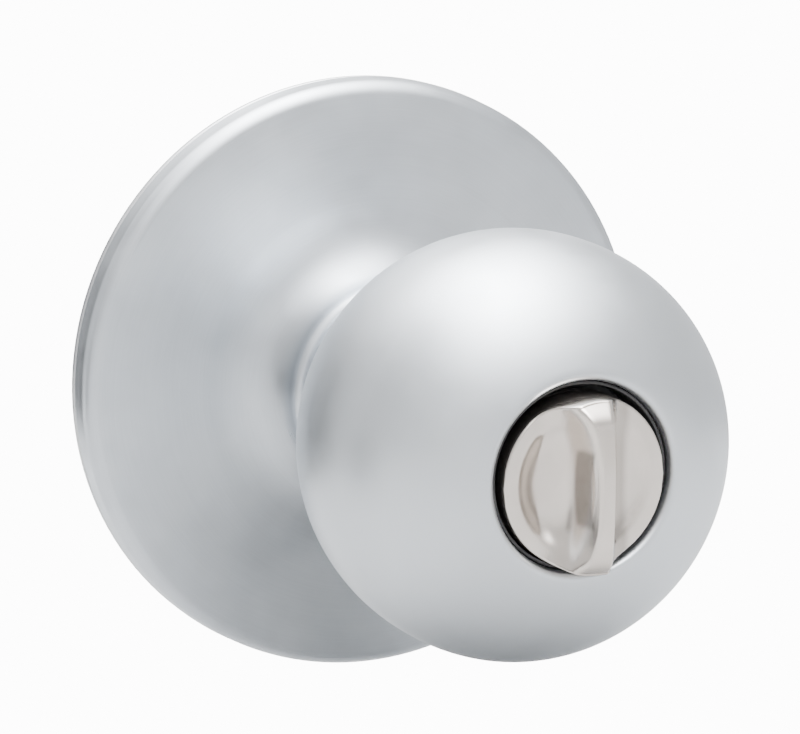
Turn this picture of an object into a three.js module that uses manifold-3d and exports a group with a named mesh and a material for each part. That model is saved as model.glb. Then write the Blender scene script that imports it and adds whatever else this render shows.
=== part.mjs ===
// Inside half of a privacy door knob: rose, ball knob, turn button and the works behind them.
// Millimetres, +Z up. The door face is the plane y = 0 and the door is on the +Y side.
// The knob axis is the Y axis. Heights called h are distances from the door, so y = -h.

import * as THREE from "three";
import { mergeVertices } from "three/addons/utils/BufferGeometryUtils.js";
import Module from "manifold-3d";

const wasm = await Module();
wasm.setup();

// Driving dimensions: the parts that show
const ROSE_RADIUS = 39.7;
const ROSE_BACK = 1.2;
const ROSE_WALL = 0.9;
const ROSE_DRAFT = 0.2;
const ROSE_RIM_TOP = 3.5;
const ROSE_SHOULDER = 2.1;
const ROSE_NECK_RADIUS = 14.4;
const ROSE_LIP_RADIUS = 12.75;
const ROSE_HEIGHT = 15.0;
const BALL_RADIUS = 26;
const BALL_CENTRE = 50;
const BALL_BACK_DEPTH = 26;
const BALL_FRONT_DEPTH = 21.25;
const BALL_FRONT_POWER = 2.38;
const BALL_WALL = 1.0;
const NECK_RADIUS = 12.2;
const NECK_WALL = 1.0;
const HOLE_RADIUS = 11.25;
const BUTTON_RADIUS = 10.2;
const BUTTON_RIM_HEIGHT = 69.8;
const BUTTON_CREST_HEIGHT = 76.2;
const BUTTON_SAG = 0.4;
const FIN_HALF_WIDTH = 1.3;
const FIN_END_SPREAD = 1.6;

// Driving dimensions: the works
const PLATE_RADIUS = 39.7;
const PLATE_THICKNESS = 0.9;
const PLATE_DISH_RADIUS = 12.4;
const PLATE_DISH_HEIGHT = 2.4;
const SCREW_SPACING = 38;
const SCREW_RADIUS = 2.0;
const SCREW_HEAD_RADIUS = 3.9;
const SCREW_LENGTH = 34;
const SLEEVE_RADIUS = 8.0;
const SLEEVE_WALL = 1.0;
const SLEEVE_DOOR_END = 0.7;
const SLEEVE_ROOM_END = 46;
const SPRING_COIL_RADIUS = 11.4;
const SPRING_WIRE_RADIUS = 0.65;
const SPRING_TURNS = 2.5;
const SPRING_DOOR_END = 4.3;
const SPRING_ROOM_END = 7.9;
const CAGE_RADIUS = 14.0;
const CAGE_WALL = 0.8;
const CAM_BASE = 9.2;
const CAM_THICKNESS = 1.1;
const CAM_TAB_HALF_ANGLE = 10;
const KNOB_TRAVEL = 55;
const STEM_RADIUS = 2.0;
const CATCH_HEIGHT = 21.5;
const CATCH_PIN_RADIUS = 2.0;
const POKE_HOLE_RADIUS = 1.2;
const RUNNING_GAP = 0.15;
const RESTING_GAP = 0.3;

const FINE = 40;
const MEDIUM = 26;
const COARSE = 14;

// Solids

function toSolid(geometry) {
  const bare = new THREE.BufferGeometry();
  bare.setAttribute("position", geometry.getAttribute("position"));
  if (geometry.index) bare.setIndex(geometry.index);
  const merged = mergeVertices(bare, 1e-4);
  const index = merged.index.array;
  const triangles = [];
  for (let i = 0; i < index.length; i += 3) {
    const [a, b, c] = [index[i], index[i + 1], index[i + 2]];
    if (a !== b && b !== c && c !== a) triangles.push(a, b, c);
  }
  return new wasm.Manifold(new wasm.Mesh({
    numProp: 3,
    vertProperties: new Float32Array(merged.getAttribute("position").array),
    triVerts: new Uint32Array(triangles),
  }));
}

function toGeometry(solid) {
  const mesh = solid.getMesh();
  const geometry = new THREE.BufferGeometry();
  geometry.setAttribute("position", new THREE.BufferAttribute(mesh.vertProperties, 3));
  geometry.setIndex(new THREE.BufferAttribute(mesh.triVerts, 1));
  geometry.computeVertexNormals();
  return geometry;
}

function cut(geometry, ...tools) {
  return toGeometry(tools.reduce((solid, tool) => solid.subtract(toSolid(tool)), toSolid(geometry)));
}

function join(geometry, ...others) {
  return toGeometry(others.reduce((solid, other) => solid.add(toSolid(other)), toSolid(geometry)));
}

// Turns a profile of [radius, h] points about the knob axis. A profile that doesn't start and end on
// the axis is closed on itself.
function turned(profile, segments = MEDIUM) {
  const onAxis = profile[0][0] === 0 && profile.at(-1)[0] === 0;
  const loop = onAxis ? profile : [...profile, profile[0]];
  let area = 0;
  loop.forEach(([r, h], i) => {
    const [nextR, nextH] = loop[(i + 1) % loop.length];
    area += r * -nextH - nextR * -h;
  });
  const ordered = area > 0 ? loop : [...loop].reverse();
  return new THREE.LatheGeometry(ordered.map(([r, h]) => new THREE.Vector2(r, -h)), segments);
}

function ring(innerRadius, outerRadius, low, high, segments = MEDIUM) {
  return turned([[innerRadius, low], [outerRadius, low], [outerRadius, high], [innerRadius, high]], segments);
}

function disc(radius, low, high, segments = MEDIUM) {
  return turned([[0, low], [radius, low], [radius, high], [0, high]], segments);
}

function pinAlongZ(radius, low, high, segments = COARSE) {
  return new THREE.CylinderGeometry(radius, radius, high - low, segments)
    .rotateX(Math.PI / 2)
    .translate(0, 0, (low + high) / 2);
}

// Raises a flat outline, drawn in x and z, from h = low to h = high.
function raised(shape, low, high, curveSegments = 12) {
  return new THREE.ExtrudeGeometry(shape, { depth: high - low, bevelEnabled: false, curveSegments })
    .rotateX(Math.PI / 2)
    .translate(0, -low, 0);
}

// A piece of a ring between two angles, in degrees counter-clockwise from +X towards +Z.
function ringSector(innerRadius, outerRadius, from, to) {
  const shape = new THREE.Shape();
  const [start, end] = [THREE.MathUtils.degToRad(from), THREE.MathUtils.degToRad(to)];
  shape.absarc(0, 0, outerRadius, start, end, false);
  shape.absarc(0, 0, innerRadius, end, start, true);
  shape.closePath();
  return shape;
}

function circleShape(radius, sides) {
  const points = [];
  for (let i = 0; i < sides; i++) {
    const angle = (2 * Math.PI * i) / sides;
    points.push(new THREE.Vector2(radius * Math.cos(angle), radius * Math.sin(angle)));
  }
  return new THREE.Shape(points);
}

function wire(points, radius, steps) {
  const path = new THREE.CatmullRomCurve3(points, false, "centripetal");
  return new THREE.ExtrudeGeometry(circleShape(radius, 6), { steps, extrudePath: path });
}

// Moves an open profile sideways, towards the inside of the shell.
function offset(profile, distance) {
  return profile.map(([r, h], i) => {
    const [r0, h0] = profile[Math.max(i - 1, 0)];
    const [r1, h1] = profile[Math.min(i + 1, profile.length - 1)];
    const length = Math.hypot(r1 - r0, h1 - h0);
    return [r - (distance * (h1 - h0)) / length, h + (distance * (r1 - r0)) / length];
  });
}

// Keeps the ends of a profile and every second point between them.
function thinned(profile) {
  return profile.filter((point, i) => i < 2 || i > profile.length - 3 || i % 2 === 0);
}

// Joins outlines of [x, h] points at successive z stations into one solid.
function lofted(sections) {
  if (!THREE.ShapeUtils.isClockWise(sections[0].outline.map(([x, h]) => new THREE.Vector2(x, h)))) {
    sections = sections.map(({ z, outline }) => ({ z, outline: [...outline].reverse() }));
  }
  const size = sections[0].outline.length;
  const positions = sections.flatMap(({ z, outline }) => outline.flatMap(([x, h]) => [x, -h, z]));
  const index = [];
  for (let s = 0; s < sections.length - 1; s++) {
    for (let i = 0; i < size; i++) {
      const a = s * size + i;
      const b = s * size + ((i + 1) % size);
      index.push(a, b, b + size, a, b + size, a + size);
    }
  }
  const cap = (outline) => {
    const points = outline.map(([x, h]) => new THREE.Vector2(x, h));
    const area = (shape) => Math.sign(THREE.ShapeUtils.area(shape));
    return THREE.ShapeUtils.triangulateShape(points, []).map((triangle) =>
      (area(triangle.map((i) => points[i])) === area(points) ? triangle : [...triangle].reverse()));
  };
  const last = (sections.length - 1) * size;
  for (const [a, b, c] of cap(sections[0].outline)) index.push(a, c, b);
  for (const [a, b, c] of cap(sections.at(-1).outline)) index.push(last + a, last + b, last + c);
  const geometry = new THREE.BufferGeometry();
  geometry.setAttribute("position", new THREE.Float32BufferAttribute(positions, 3));
  geometry.setIndex(index);
  return geometry;
}

function arc(centreR, centreH, radiusR, radiusH, from, to, steps) {
  const points = [];
  for (let i = 0; i <= steps; i++) {
    const angle = THREE.MathUtils.degToRad(from + ((to - from) * i) / steps);
    points.push([centreR + radiusR * Math.cos(angle), centreH + radiusH * Math.sin(angle)]);
  }
  return points;
}

// Assembly: one group for each set of pieces that moves together

const assembly = new THREE.Group();
const groups = {};
for (const name of ["chassis", "knob", "button", "catch"]) {
  groups[name] = new THREE.Group();
  assembly.add(groups[name]);
}

const finishes = {
  satinChrome: { color: 0xb9bec2, roughness: 0.34, metalness: 1.0 },
  satinNickel: { color: 0xc8c3be, roughness: 0.25, metalness: 1.0 },
  zincPlate: { color: 0xa9adb0, roughness: 0.45, metalness: 0.9 },
  dieCastZinc: { color: 0x8f9396, roughness: 0.55, metalness: 0.8 },
  springSteel: { color: 0x7d8082, roughness: 0.35, metalness: 1.0 },
  blackPlastic: { color: 0x0b0b0c, roughness: 0.4, metalness: 0.0 },
  whiteNylon: { color: 0xe6e3da, roughness: 0.5, metalness: 0.0 },
  brass: { color: 0xb89a5a, roughness: 0.35, metalness: 1.0 },
};

function add(group, name, finish, geometry) {
  const mesh = new THREE.Mesh(geometry, new THREE.MeshStandardMaterial(finishes[finish]));
  mesh.name = name;
  groups[group].add(mesh);
  return mesh;
}

// Rose: rim wall, rolled shoulder, shallow cone face, and a flare that rises to a rolled lip round the
// knob's neck

function buildRose() {
  const shoulderTop = 80;
  const shoulderCentre = ROSE_RADIUS - ROSE_DRAFT - ROSE_SHOULDER;
  const lipRoll = 1.1;
  const flare = new THREE.CubicBezierCurve(
    new THREE.Vector2(24.0, 7.3),
    new THREE.Vector2(18.4, 7.9),
    new THREE.Vector2(ROSE_NECK_RADIUS + 0.8, 9.8),
    new THREE.Vector2(ROSE_NECK_RADIUS, ROSE_HEIGHT - lipRoll - 1.2),
  );
  const outside = [
    [ROSE_RADIUS, ROSE_BACK],
    ...arc(shoulderCentre, ROSE_RIM_TOP, ROSE_SHOULDER, ROSE_SHOULDER, 0, shoulderTop, 5),
    [31.0, 6.25],
    ...flare.getPoints(7).map((p) => [p.x, p.y]),
    ...arc(ROSE_NECK_RADIUS - 0.1 - lipRoll, ROSE_HEIGHT - lipRoll, lipRoll, lipRoll, 0, 90, 4),
    [ROSE_LIP_RADIUS, ROSE_HEIGHT],
  ];
  const inside = offset(outside, ROSE_WALL);
  inside[0][1] = ROSE_BACK;
  inside[inside.length - 1][0] = ROSE_LIP_RADIUS;
  add("chassis", "rose", "satinChrome", turned([...outside, ...thinned(inside).reverse()], FINE));
}

// Mounting plate: dished disc with two screw slots and four tabs that hold the rose

function buildMountingPlate() {
  const t = PLATE_THICKNESS;
  const bore = SLEEVE_RADIUS + 1.7;
  const tabRadius = 37.9;
  const tabHeight = 3.2;
  const plate = turned([
    [bore, PLATE_DISH_HEIGHT], [PLATE_DISH_RADIUS - t, PLATE_DISH_HEIGHT], [PLATE_DISH_RADIUS, 0],
    [PLATE_RADIUS, 0], [PLATE_RADIUS, t], [PLATE_DISH_RADIUS + 0.6, t],
    [PLATE_DISH_RADIUS - 0.3, PLATE_DISH_HEIGHT + t], [bore, PLATE_DISH_HEIGHT + t],
  ], FINE);
  const tabs = [45, 135, 225, 315].map((angle) =>
    raised(ringSector(tabRadius - 0.9, tabRadius, angle - 18, angle + 18), t - 0.2, tabHeight, 6));
  const slots = [-1, 1].map((side) => {
    const shape = new THREE.Shape();
    const x = (side * SCREW_SPACING) / 2;
    const radius = SCREW_RADIUS + 0.4;
    shape.absarc(x + 1.2, 0, radius, -Math.PI / 2, Math.PI / 2, false);
    shape.absarc(x - 1.2, 0, radius, Math.PI / 2, (3 * Math.PI) / 2, false);
    shape.closePath();
    return raised(shape, -1, 5, 8);
  });
  const rivetHoles = rivetPlaces().map(([x, z]) => disc(RIVET_RADIUS + 0.3, -1, 5, COARSE).translate(x, 0, z));
  const lighteningHoles = [60, 120, 240, 300].map((angle) => {
    const a = THREE.MathUtils.degToRad(angle);
    return disc(3, -1, 2, COARSE).translate(29 * Math.cos(a), 0, 29 * Math.sin(a));
  });
  add("chassis", "mounting_plate", "zincPlate",
    cut(join(plate, ...tabs), ...slots, ...rivetHoles, ...lighteningHoles));
}

// Spring cage: a wall around the spring, on three feet that are riveted to the plate. A window in the
// wall's top lets the cam's tab swing, and its ends stop the tab.

const RIVET_RADIUS = 1.3;
const RIVET_CIRCLE = 17.6;
const RIVET_ANGLES = [90, 235, 305];
const CAGE_FLOOR = PLATE_THICKNESS + RESTING_GAP;
const CAGE_TOP = CAM_BASE + CAM_THICKNESS + 0.5;
const STOP_ANGLE = KNOB_TRAVEL + CAM_TAB_HALF_ANGLE + 1;

function rivetPlaces() {
  return RIVET_ANGLES.map((angle) => {
    const a = THREE.MathUtils.degToRad(angle);
    return [RIVET_CIRCLE * Math.cos(a), RIVET_CIRCLE * Math.sin(a)];
  });
}

function buildSpringCage() {
  const inner = CAGE_RADIUS - CAGE_WALL;
  const footTop = CAGE_FLOOR + 0.9;
  const wall = ring(inner, CAGE_RADIUS, CAGE_FLOOR, CAGE_TOP, FINE);
  const feet = RIVET_ANGLES.map((angle) =>
    raised(ringSector(inner + 0.2, RIVET_CIRCLE + 2.6, angle - 9, angle + 9), CAGE_FLOOR + 0.01, footTop, 4));
  const window = raised(ringSector(inner - 1, CAGE_RADIUS + 1, 90 - STOP_ANGLE, 90 + STOP_ANGLE),
    CAM_BASE - 0.5, CAGE_TOP + 1, 16);
  const legNotch = raised(ringSector(inner - 1, CAGE_RADIUS + 1, 262, 278),
    SPRING_DOOR_END - 1.1, SPRING_DOOR_END + 1.1, 4);
  const rivetHoles = rivetPlaces().map(([x, z]) =>
    disc(RIVET_RADIUS + 0.3, 0, footTop + 1, COARSE).translate(x, 0, z));
  add("chassis", "spring_cage", "zincPlate", cut(join(wall, ...feet), window, legNotch, ...rivetHoles));

  const headBase = footTop + 0.2;
  const headRadius = RIVET_RADIUS + 1.1;
  rivetPlaces().forEach(([x, z], i) => {
    const rivet = turned([
      [0, 0.15], [RIVET_RADIUS, 0.15], [RIVET_RADIUS, headBase], [headRadius, headBase],
      [headRadius * 0.75, headBase + 0.8], [0, headBase + 1.1],
    ], 14);
    add("chassis", `cage_rivet_${i + 1}`, "zincPlate", rivet).position.set(x, 0, z);
  });
}

// Sleeve bushing: nylon bearing in the plate's bore, and the spool that the spring sits on

function buildSleeveBushing() {
  const inner = SLEEVE_RADIUS + RUNNING_GAP;
  const journal = SLEEVE_RADIUS + 1.4;
  const dishTop = PLATE_DISH_HEIGHT + PLATE_THICKNESS;
  add("chassis", "sleeve_bushing", "whiteNylon", turned([
    [inner, 2.0], [journal, 2.0], [journal, dishTop + RESTING_GAP], [journal + 1.1, dishTop + RESTING_GAP],
    [journal + 1.1, dishTop + 1.0], [journal + 0.3, dishTop + 1.0], [journal + 0.3, CAM_BASE - 0.6],
    [inner, CAM_BASE - 0.6],
  ]));
}

// Return spring: its door end goes out through the cage, and its room end goes up into the cam

function buildReturnSpring() {
  const points = [];
  const radius = SPRING_COIL_RADIUS;
  const place = (r, degrees, h) => {
    const a = THREE.MathUtils.degToRad(degrees);
    points.push(new THREE.Vector3(r * Math.cos(a), -h, r * Math.sin(a)));
  };
  place(radius + 4, 270, SPRING_DOOR_END);
  place(radius + 2, 270, SPRING_DOOR_END);
  const stepsPerTurn = 16;
  const count = SPRING_TURNS * stepsPerTurn;
  for (let i = 1; i < count; i++) {
    const t = i / count;
    place(radius, 270 + 360 * SPRING_TURNS * t, THREE.MathUtils.lerp(SPRING_DOOR_END, SPRING_ROOM_END, t));
  }
  place(radius, 90, SPRING_ROOM_END + 0.6);
  place(radius, 90, CAM_BASE + CAM_THICKNESS + 0.4);
  add("chassis", "return_spring", "springSteel", wire(points, SPRING_WIRE_RADIUS, 56));
}

// Mounting screws: pan heads with a cross recess, through the door to the outside half

function buildMountingScrews() {
  const seat = PLATE_THICKNESS + 0.2;
  const shank = turned([
    [0, -SCREW_LENGTH], [SCREW_RADIUS * 0.7, -SCREW_LENGTH], [SCREW_RADIUS, -SCREW_LENGTH + 1], [SCREW_RADIUS, seat],
    [SCREW_HEAD_RADIUS, seat], [SCREW_HEAD_RADIUS, seat + 0.9], [SCREW_HEAD_RADIUS * 0.8, seat + 1.9],
    [SCREW_HEAD_RADIUS * 0.45, seat + 2.4], [0, seat + 2.5],
  ], COARSE);
  const arm = new THREE.BoxGeometry(3.6, 2.2, 0.8).translate(0, -(seat + 2.4), 0);
  const screw = cut(shank, join(arm, arm.clone().rotateY(Math.PI / 2)));
  for (const [side, name] of [[-1, "left"], [1, "right"]]) {
    add("chassis", `mounting_screw_${name}`, "zincPlate", screw.clone()).position.x = (side * SCREW_SPACING) / 2;
  }
}

// Spindle sleeve: flanged drive tube with a snap ring groove and a window for the catch

const RING_GROOVE_BASE = CAM_BASE + CAM_THICKNESS + 1.3;

function buildSpindleSleeve() {
  const inner = SLEEVE_RADIUS - SLEEVE_WALL;
  const flange = SLEEVE_RADIUS + 3;
  const groove = SLEEVE_RADIUS - 0.5;
  const tube = turned([
    [inner, SLEEVE_DOOR_END], [flange, SLEEVE_DOOR_END], [flange, SLEEVE_DOOR_END + 1],
    [SLEEVE_RADIUS, SLEEVE_DOOR_END + 1], [SLEEVE_RADIUS, RING_GROOVE_BASE], [groove, RING_GROOVE_BASE],
    [groove, RING_GROOVE_BASE + 1.2], [SLEEVE_RADIUS, RING_GROOVE_BASE + 1.2],
    [SLEEVE_RADIUS, SLEEVE_ROOM_END], [inner, SLEEVE_ROOM_END],
  ]);
  const catchWindow = pinAlongZ(CATCH_PIN_RADIUS + 0.25, -12, -4).translate(0, -CATCH_HEIGHT, 0);
  add("knob", "spindle_sleeve", "zincPlate", cut(tube, catchWindow));
}

function buildSpindleDriver() {
  const outer = disc(SLEEVE_RADIUS - SLEEVE_WALL - RESTING_GAP, SLEEVE_DOOR_END + 0.2, 10);
  const socket = new THREE.Shape();
  const [socketRadius, flat] = [4.2, 2.7];
  const start = Math.acos(flat / socketRadius);
  socket.absarc(0, 0, socketRadius, start, 2 * Math.PI - start, false);
  socket.closePath();
  add("knob", "spindle_driver", "dieCastZinc", cut(outer, raised(socket, -1, 12, 20)));
}

function buildSpringCam() {
  const plate = ring(SLEEVE_RADIUS + 0.1, SPRING_COIL_RADIUS + 1.3, CAM_BASE, CAM_BASE + CAM_THICKNESS);
  const tab = raised(
    ringSector(SPRING_COIL_RADIUS, CAGE_RADIUS + 0.3, 90 - CAM_TAB_HALF_ANGLE, 90 + CAM_TAB_HALF_ANGLE),
    CAM_BASE + 0.01, CAM_BASE + CAM_THICKNESS - 0.01, 4);
  const legHole = disc(SPRING_WIRE_RADIUS + 0.3, 0, 20, COARSE).translate(0, 0, SPRING_COIL_RADIUS);
  add("knob", "spring_cam", "zincPlate", cut(join(plate, tab), legHole));
}

function buildSleeveRetention() {
  const washerBase = CAM_BASE + CAM_THICKNESS + 0.25;
  add("knob", "thrust_washer", "brass", ring(SLEEVE_RADIUS + 0.15, SLEEVE_RADIUS + 2.2, washerBase, washerBase + 0.7));
  const clip = ringSector(SLEEVE_RADIUS - 0.35, SLEEVE_RADIUS + 1.8, 115, 425);
  add("knob", "retaining_ring", "springSteel", raised(clip, RING_GROOVE_BASE + 0.2, RING_GROOVE_BASE + 1.0, 16));
}

// Ball: rounded front with a turned-in hole edge, round back, and a short lip over the neck

function buildKnobShell() {
  const edgeRadius = HOLE_RADIUS + 1.15;
  const front = [];
  const frontSteps = 8;
  const edgeAngle = Math.acos(edgeRadius / BALL_RADIUS);
  for (let i = 0; i <= frontSteps; i++) {
    const r = BALL_RADIUS * Math.cos((edgeAngle * (frontSteps - i)) / frontSteps);
    const h = BALL_FRONT_DEPTH * (1 - (r / BALL_RADIUS) ** BALL_FRONT_POWER) ** (1 / BALL_FRONT_POWER);
    front.push([r, BALL_CENTRE + h]);
  }
  const back = arc(BALL_CENTRE, 0, BALL_BACK_DEPTH, BALL_RADIUS, 98, 144, 5)
    .map(([h, r]) => [r, h])
    .reverse();
  const lip = NECK_RADIUS + 0.3;
  const neck = [[lip + 0.75, 25.2], [lip + 0.9, 27.0]];
  const outside = [...neck, ...back, ...front.reverse()];
  const inside = offset(outside, BALL_WALL);
  inside[0] = [lip, 25.2];
  inside[1] = [lip, 27.4];
  inside[inside.length - 1] = [HOLE_RADIUS + 1.2, 67.5];
  const holeEdge = [[HOLE_RADIUS + 0.5, 69.45], [HOLE_RADIUS + 0.08, 69.05], [HOLE_RADIUS, 68.5], [HOLE_RADIUS, 67.5]];
  add("knob", "knob_shell", "satinChrome", turned([...outside, ...holeEdge, ...thinned(inside).reverse()], FINE));
}

function buildKnobShank() {
  const inner = NECK_RADIUS - NECK_WALL;
  const tube = turned([
    [inner, 13.4], [NECK_RADIUS, 13.4], [NECK_RADIUS, 31.2], [15.2, 31.2], [15.2, 32.2], [inner, 32.2],
  ], FINE);
  const pokeHole = pinAlongZ(POKE_HOLE_RADIUS, -20, -4).translate(0, -CATCH_HEIGHT, 0);
  add("knob", "knob_shank", "satinChrome", cut(tube, pokeHole));
}

// Knob core: cast tube over the sleeve, a web that the stem passes, and a cup under the guide

function buildKnobCore() {
  const bore = SLEEVE_RADIUS + 0.2;
  const tail = NECK_RADIUS - NECK_WALL - RESTING_GAP;
  const cup = 11.8;
  const core = turned([
    [bore, 19], [tail, 19], [tail, 44], [cup, 48], [cup, 62.3], [cup - 1.6, 62.3], [cup - 1.6, 55.4],
    [STEM_RADIUS + 0.5, 55.4], [STEM_RADIUS + 0.5, 53.8], [bore, 53.8],
  ]);
  const catchHole = pinAlongZ(CATCH_PIN_RADIUS + 0.3, -(SLEEVE_RADIUS + 1.6), -4).translate(0, -CATCH_HEIGHT, 0);
  const pokeHole = pinAlongZ(POKE_HOLE_RADIUS, -20, -4).translate(0, -CATCH_HEIGHT, 0);
  add("knob", "knob_core", "dieCastZinc", cut(core, catchHole, pokeHole));
}

const GUIDE_FLOOR = 62.6;
const BOSS_RADIUS = 4.0;

function buildButtonGuide() {
  const bezelInner = HOLE_RADIUS - 0.55;
  const bezelOuter = HOLE_RADIUS - 0.15;
  add("knob", "button_guide", "blackPlastic", turned([
    [BOSS_RADIUS + 0.8, GUIDE_FLOOR], [HOLE_RADIUS + 0.9, GUIDE_FLOOR], [HOLE_RADIUS + 0.9, 67.1],
    [bezelOuter, 67.1], [bezelOuter, 68.4], [bezelInner, 68.4], [bezelInner, GUIDE_FLOOR + 1.2],
    [BOSS_RADIUS + 0.8, GUIDE_FLOOR + 1.2],
  ], FINE));
}

// Catch: a saddle in the sleeve holds a sprung pin that reaches out through the sleeve into the core. A
// tool through the poke hole in the neck pushes it back flush with the sleeve, and frees the knob.

const CATCH_FLANGE_RADIUS = 2.6;
const CATCH_FLANGE_OUT = -6.2;
const CATCH_FLANGE_IN = -5.4;
const CATCH_TIP = -(SLEEVE_RADIUS + 1.3);
const POCKET_FLOOR = -3.2;

function buildCatchGuide() {
  const half = 4;
  const saddle = ring(STEM_RADIUS + 0.6, SLEEVE_RADIUS - SLEEVE_WALL - 0.2, CATCH_HEIGHT - half, CATCH_HEIGHT + half);
  const pocket = pinAlongZ(CATCH_FLANGE_RADIUS + 0.3, -12, POCKET_FLOOR).translate(0, -CATCH_HEIGHT, 0);
  add("knob", "catch_guide", "whiteNylon", cut(saddle, pocket));
}

function buildKnobCatch() {
  const flange = pinAlongZ(CATCH_FLANGE_RADIUS, CATCH_FLANGE_OUT, CATCH_FLANGE_IN);
  const pin = pinAlongZ(CATCH_PIN_RADIUS, CATCH_TIP, CATCH_FLANGE_OUT + 0.1);
  add("catch", "knob_catch", "zincPlate", join(flange, pin).translate(0, -CATCH_HEIGHT, 0));
}

function buildCatchSpring() {
  const wireRadius = 0.15;
  const coilRadius = 1.9;
  const turns = 2.5;
  const steps = 26;
  const low = CATCH_FLANGE_IN + wireRadius + 0.05;
  const high = POCKET_FLOOR - wireRadius - 0.05;
  const points = [];
  for (let i = 0; i <= steps; i++) {
    const a = (2 * Math.PI * turns * i) / steps;
    const z = THREE.MathUtils.lerp(low, high, i / steps);
    points.push(new THREE.Vector3(coilRadius * Math.cos(a), coilRadius * Math.sin(a) - CATCH_HEIGHT, z));
  }
  add("knob", "catch_spring", "springSteel", wire(points, wireRadius, steps));
}

// Turn button: a disc with a thumb fin left standing between two dished scoops

function buildTurnButton() {
  const underside = BUTTON_RIM_HEIGHT - 4.4;
  const crestDrop = 1.0;
  const scoopRadius = 8.3;
  const domeRadius = (BUTTON_RADIUS ** 2 + crestDrop ** 2) / (2 * crestDrop);
  const dome = [];
  for (let i = 0; i <= 8; i++) {
    const r = (BUTTON_RADIUS * (8 - i)) / 8;
    const endFall = 0.34 * Math.max(r - 7.9, 0) ** 2;
    dome.push([r, BUTTON_CREST_HEIGHT - domeRadius + Math.sqrt(domeRadius ** 2 - r ** 2) - endFall]);
  }
  const body = turned([
    [0, underside + 1.2], [STEM_RADIUS + 0.3, underside + 1.2], [STEM_RADIUS + 0.3, underside - 4.5],
    [BOSS_RADIUS, underside - 4.5], [BOSS_RADIUS, underside], [BUTTON_RADIUS, underside], ...dome,
  ], FINE);

  const flank = (side) => {
    const top = BUTTON_CREST_HEIGHT + 1;
    const stations = [-12, -9, -7.5, -6, -4, 0, 4, 6, 7.5, 9, 12];
    return lofted(stations.map((z) => {
      const reach = Math.min(Math.abs(z), 9) / 9;
      const start = FIN_HALF_WIDTH + (side < 0 ? FIN_END_SPREAD * reach ** 2.4 : 0);
      const dish = Math.sqrt(Math.max(1 - (z / scoopRadius) ** 2, 0));
      const floor = BUTTON_RIM_HEIGHT - 0.8 * dish;
      const outline = [[side * start, top]];
      const steps = 6;
      for (let i = 0; i <= steps; i++) {
        const a = (Math.PI / 2) * (i / steps);
        const h = BUTTON_CREST_HEIGHT - 0.4 - (BUTTON_CREST_HEIGHT - 0.4 - floor) * Math.sin(a);
        outline.push([side * (start + 4.2 * (1 - Math.cos(a))), h]);
      }
      const dishEdge = Math.max(scoopRadius * dish, start + 4.6);
      outline.push([side * dishEdge, BUTTON_RIM_HEIGHT], [side * 12, BUTTON_RIM_HEIGHT], [side * 12, top]);
      return { z, outline };
    }));
  };
  add("button", "turn_button", "satinNickel", cut(body, flank(-1), flank(1)));
}

// Lock stem: rod from the button to a fork that takes the outside half's lock blade

function buildLockStem() {
  const top = BUTTON_RIM_HEIGHT - 4.4 + 0.9;
  const grooveTop = 53.5;
  const rod = turned([
    [0, 12], [STEM_RADIUS, 12], [STEM_RADIUS, grooveTop - 1.0], [STEM_RADIUS - 0.5, grooveTop - 1.0],
    [STEM_RADIUS - 0.5, grooveTop], [STEM_RADIUS, grooveTop], [STEM_RADIUS, top], [0, top],
  ], COARSE);
  const fork = new THREE.BoxGeometry(1.5, 7, 6).translate(0, -(12 + 2.5), 0);
  add("button", "lock_stem", "zincPlate", cut(rod, fork));
  const clip = ringSector(STEM_RADIUS - 0.3, STEM_RADIUS + 2.0, 130, 410);
  add("button", "stem_clip", "springSteel", raised(clip, grooveTop - 0.85, grooveTop - 0.2, 10));
  add("button", "friction_washer", "springSteel",
    ring(BOSS_RADIUS + 0.3, 8.2, GUIDE_FLOOR + 1.5, GUIDE_FLOOR + 2.1));
}

buildRose();
buildMountingPlate();
buildSpringCage();
buildSleeveBushing();
buildReturnSpring();
buildMountingScrews();
buildSpindleSleeve();
buildSpindleDriver();
buildSpringCam();
buildSleeveRetention();
buildKnobShell();
buildKnobShank();
buildKnobCore();
buildButtonGuide();
buildCatchGuide();
buildKnobCatch();
buildCatchSpring();
buildTurnButton();
buildLockStem();
groups.button.position.z = -BUTTON_SAG;

export default assembly;
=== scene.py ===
"""Inside half of a privacy door knob, in satin chrome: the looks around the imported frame.

Lengths are millimetres until a mesh is made, and the knob axis is the Y axis. A height, or h, is the
distance from the door's face into the room, so y = -h.
"""

import math
from types import SimpleNamespace

import bmesh
import bpy
from mathutils import Matrix, Vector


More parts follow.
